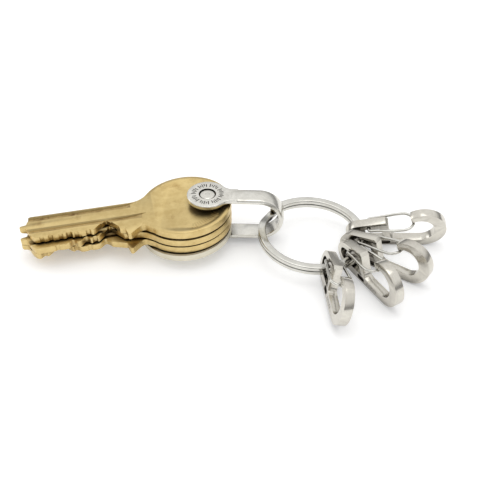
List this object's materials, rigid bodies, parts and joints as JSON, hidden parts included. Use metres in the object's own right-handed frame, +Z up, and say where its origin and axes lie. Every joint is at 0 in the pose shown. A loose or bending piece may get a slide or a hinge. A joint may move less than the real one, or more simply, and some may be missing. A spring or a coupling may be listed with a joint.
{
  "type": "key organiser",
  "caption": "Steel shackle with a screw pin through a stack of brass keys, and a split ring in its bend that carries small wire-gate clips.",
  "frame": {"origin": "middle of the footprint, on the floor that the organiser lies on", "axes": "+X from the keys' tips to the clips, +Y away from the side with the keys' bitting, +Z up along the screw pin"},
  "size_m": [0.1188, 0.0512, 0.0156],
  "materials": {
    "polished_steel": "softly polished stainless steel, warm grey",
    "ring_steel": "drawn steel wire and spring steel, bright and smooth",
    "worn_brass": "milled brass with handling wear, fine scratches and brown tarnish",
    "nickel_key": "nickel-plated key blank, bright with worn edges"
  },
  "bodies": {
    "shackle": {"shackle_body": "polished_steel"},
    "pin": {"screw_pin": "polished_steel"},
    "ring": {"split_ring": "ring_steel"},
    "key_1_body": {"key_1": "worn_brass"},
    "key_2_body": {"key_2": "worn_brass"},
    "key_3_body": {"key_3": "worn_brass"},
    "key_4_body": {"key_4": "nickel_key"},
    "clip_1": {"clip_1_body": "polished_steel"},
    "gate_1": {"clip_1_gate": "ring_steel"},
    "clip_2": {"clip_2_body": "polished_steel"},
    "gate_2": {"clip_2_gate": "ring_steel"},
    "clip_3": {"clip_3_body": "polished_steel"},
    "gate_3": {"clip_3_gate": "ring_steel"},
    "clip_4": {"clip_4_body": "polished_steel"},
    "gate_4": {"clip_4_gate": "ring_steel"}
  },
  "joints": [
    {"name": "pin_withdraw", "type": "slide", "parent": "shackle", "child": "pin", "axis": [0, 0, -1], "range_m": [0, 0.0155]},
    {"name": "key_1_swing", "type": "hinge", "parent": "shackle", "child": "key_1_body", "pos_m": [-0.00761, 0.01399, 0.01093], "axis": [-0.0745, 0, 0.9972], "range_deg": [-100, 85]},
    {"name": "key_2_swing", "type": "hinge", "parent": "shackle", "child": "key_2_body", "pos_m": [-0.00761, 0.01399, 0.00852], "axis": [-0.0745, 0, 0.9972], "range_deg": [-100, 85]},
    {"name": "key_3_swing", "type": "hinge", "parent": "shackle", "child": "key_3_body", "pos_m": [-0.00761, 0.01399, 0.00612], "axis": [-0.0745, 0, 0.9972], "range_deg": [-100, 85]},
    {"name": "key_4_swing", "type": "hinge", "parent": "shackle", "child": "key_4_body", "pos_m": [-0.00761, 0.01399, 0.00371], "axis": [-0.0745, 0, 0.9972], "range_deg": [-100, 85]},
    {"name": "ring_swing", "type": "hinge", "parent": "shackle", "child": "ring", "pos_m": [0.00834, 0.01399, 0.00618], "axis": [0, 1, 0], "range_deg": [-80, 80]},
    {"name": "clip_1_swing", "type": "hinge", "parent": "ring", "child": "clip_1", "pos_m": [0.03568, 0.01269, 0.00432], "axis": [0.0206, -0.9801, -0.1976], "range_deg": [-30, 40]},
    {"name": "clip_2_swing", "type": "hinge", "parent": "ring", "child": "clip_2", "pos_m": [0.03555, 0.00637, 0.00421], "axis": [-0.5474, -0.8368, -0.0105], "range_deg": [-25, 20]},
    {"name": "clip_3_swing", "type": "hinge", "parent": "ring", "child": "clip_3", "pos_m": [0.03334, 0.00158, 0.00428], "axis": [-0.8482, -0.5267, -0.0558], "range_deg": [-20, 12]},
    {"name": "clip_4_swing", "type": "hinge", "parent": "ring", "child": "clip_4", "pos_m": [0.02667, -0.0035, 0.00464], "axis": [-0.9604, -0.1323, 0.2451], "range_deg": [-30, 40]},
    {"name": "gate_1_open", "type": "hinge", "parent": "clip_1", "child": "gate_1", "pos_m": [0.03753, 0.0121, 0.0074], "axis": [-0.0206, 0.9801, 0.1976], "range_deg": [0, 25], "stiffness_Nm_per_rad": 0.01, "springref_deg": -8.59},
    {"name": "gate_2_open", "type": "hinge", "parent": "clip_2", "child": "gate_2", "pos_m": [0.03549, 0.00637, 0.00744], "axis": [0.5474, 0.8368, 0.0105], "range_deg": [0, 25], "stiffness_Nm_per_rad": 0.01, "springref_deg": -8.59},
    {"name": "gate_3_open", "type": "hinge", "parent": "clip_3", "child": "gate_3", "pos_m": [0.03321, 0.00143, 0.00753], "axis": [0.8482, 0.5267, 0.0558], "range_deg": [0, 25], "stiffness_Nm_per_rad": 0.01, "springref_deg": -8.59},
    {"name": "gate_4_open", "type": "hinge", "parent": "clip_4", "child": "gate_4", "pos_m": [0.02749, -0.00387, 0.00766], "axis": [0.9604, 0.1323, -0.2451], "range_deg": [0, 25], "stiffness_Nm_per_rad": 0.01, "springref_deg": -8.59}
  ]
}
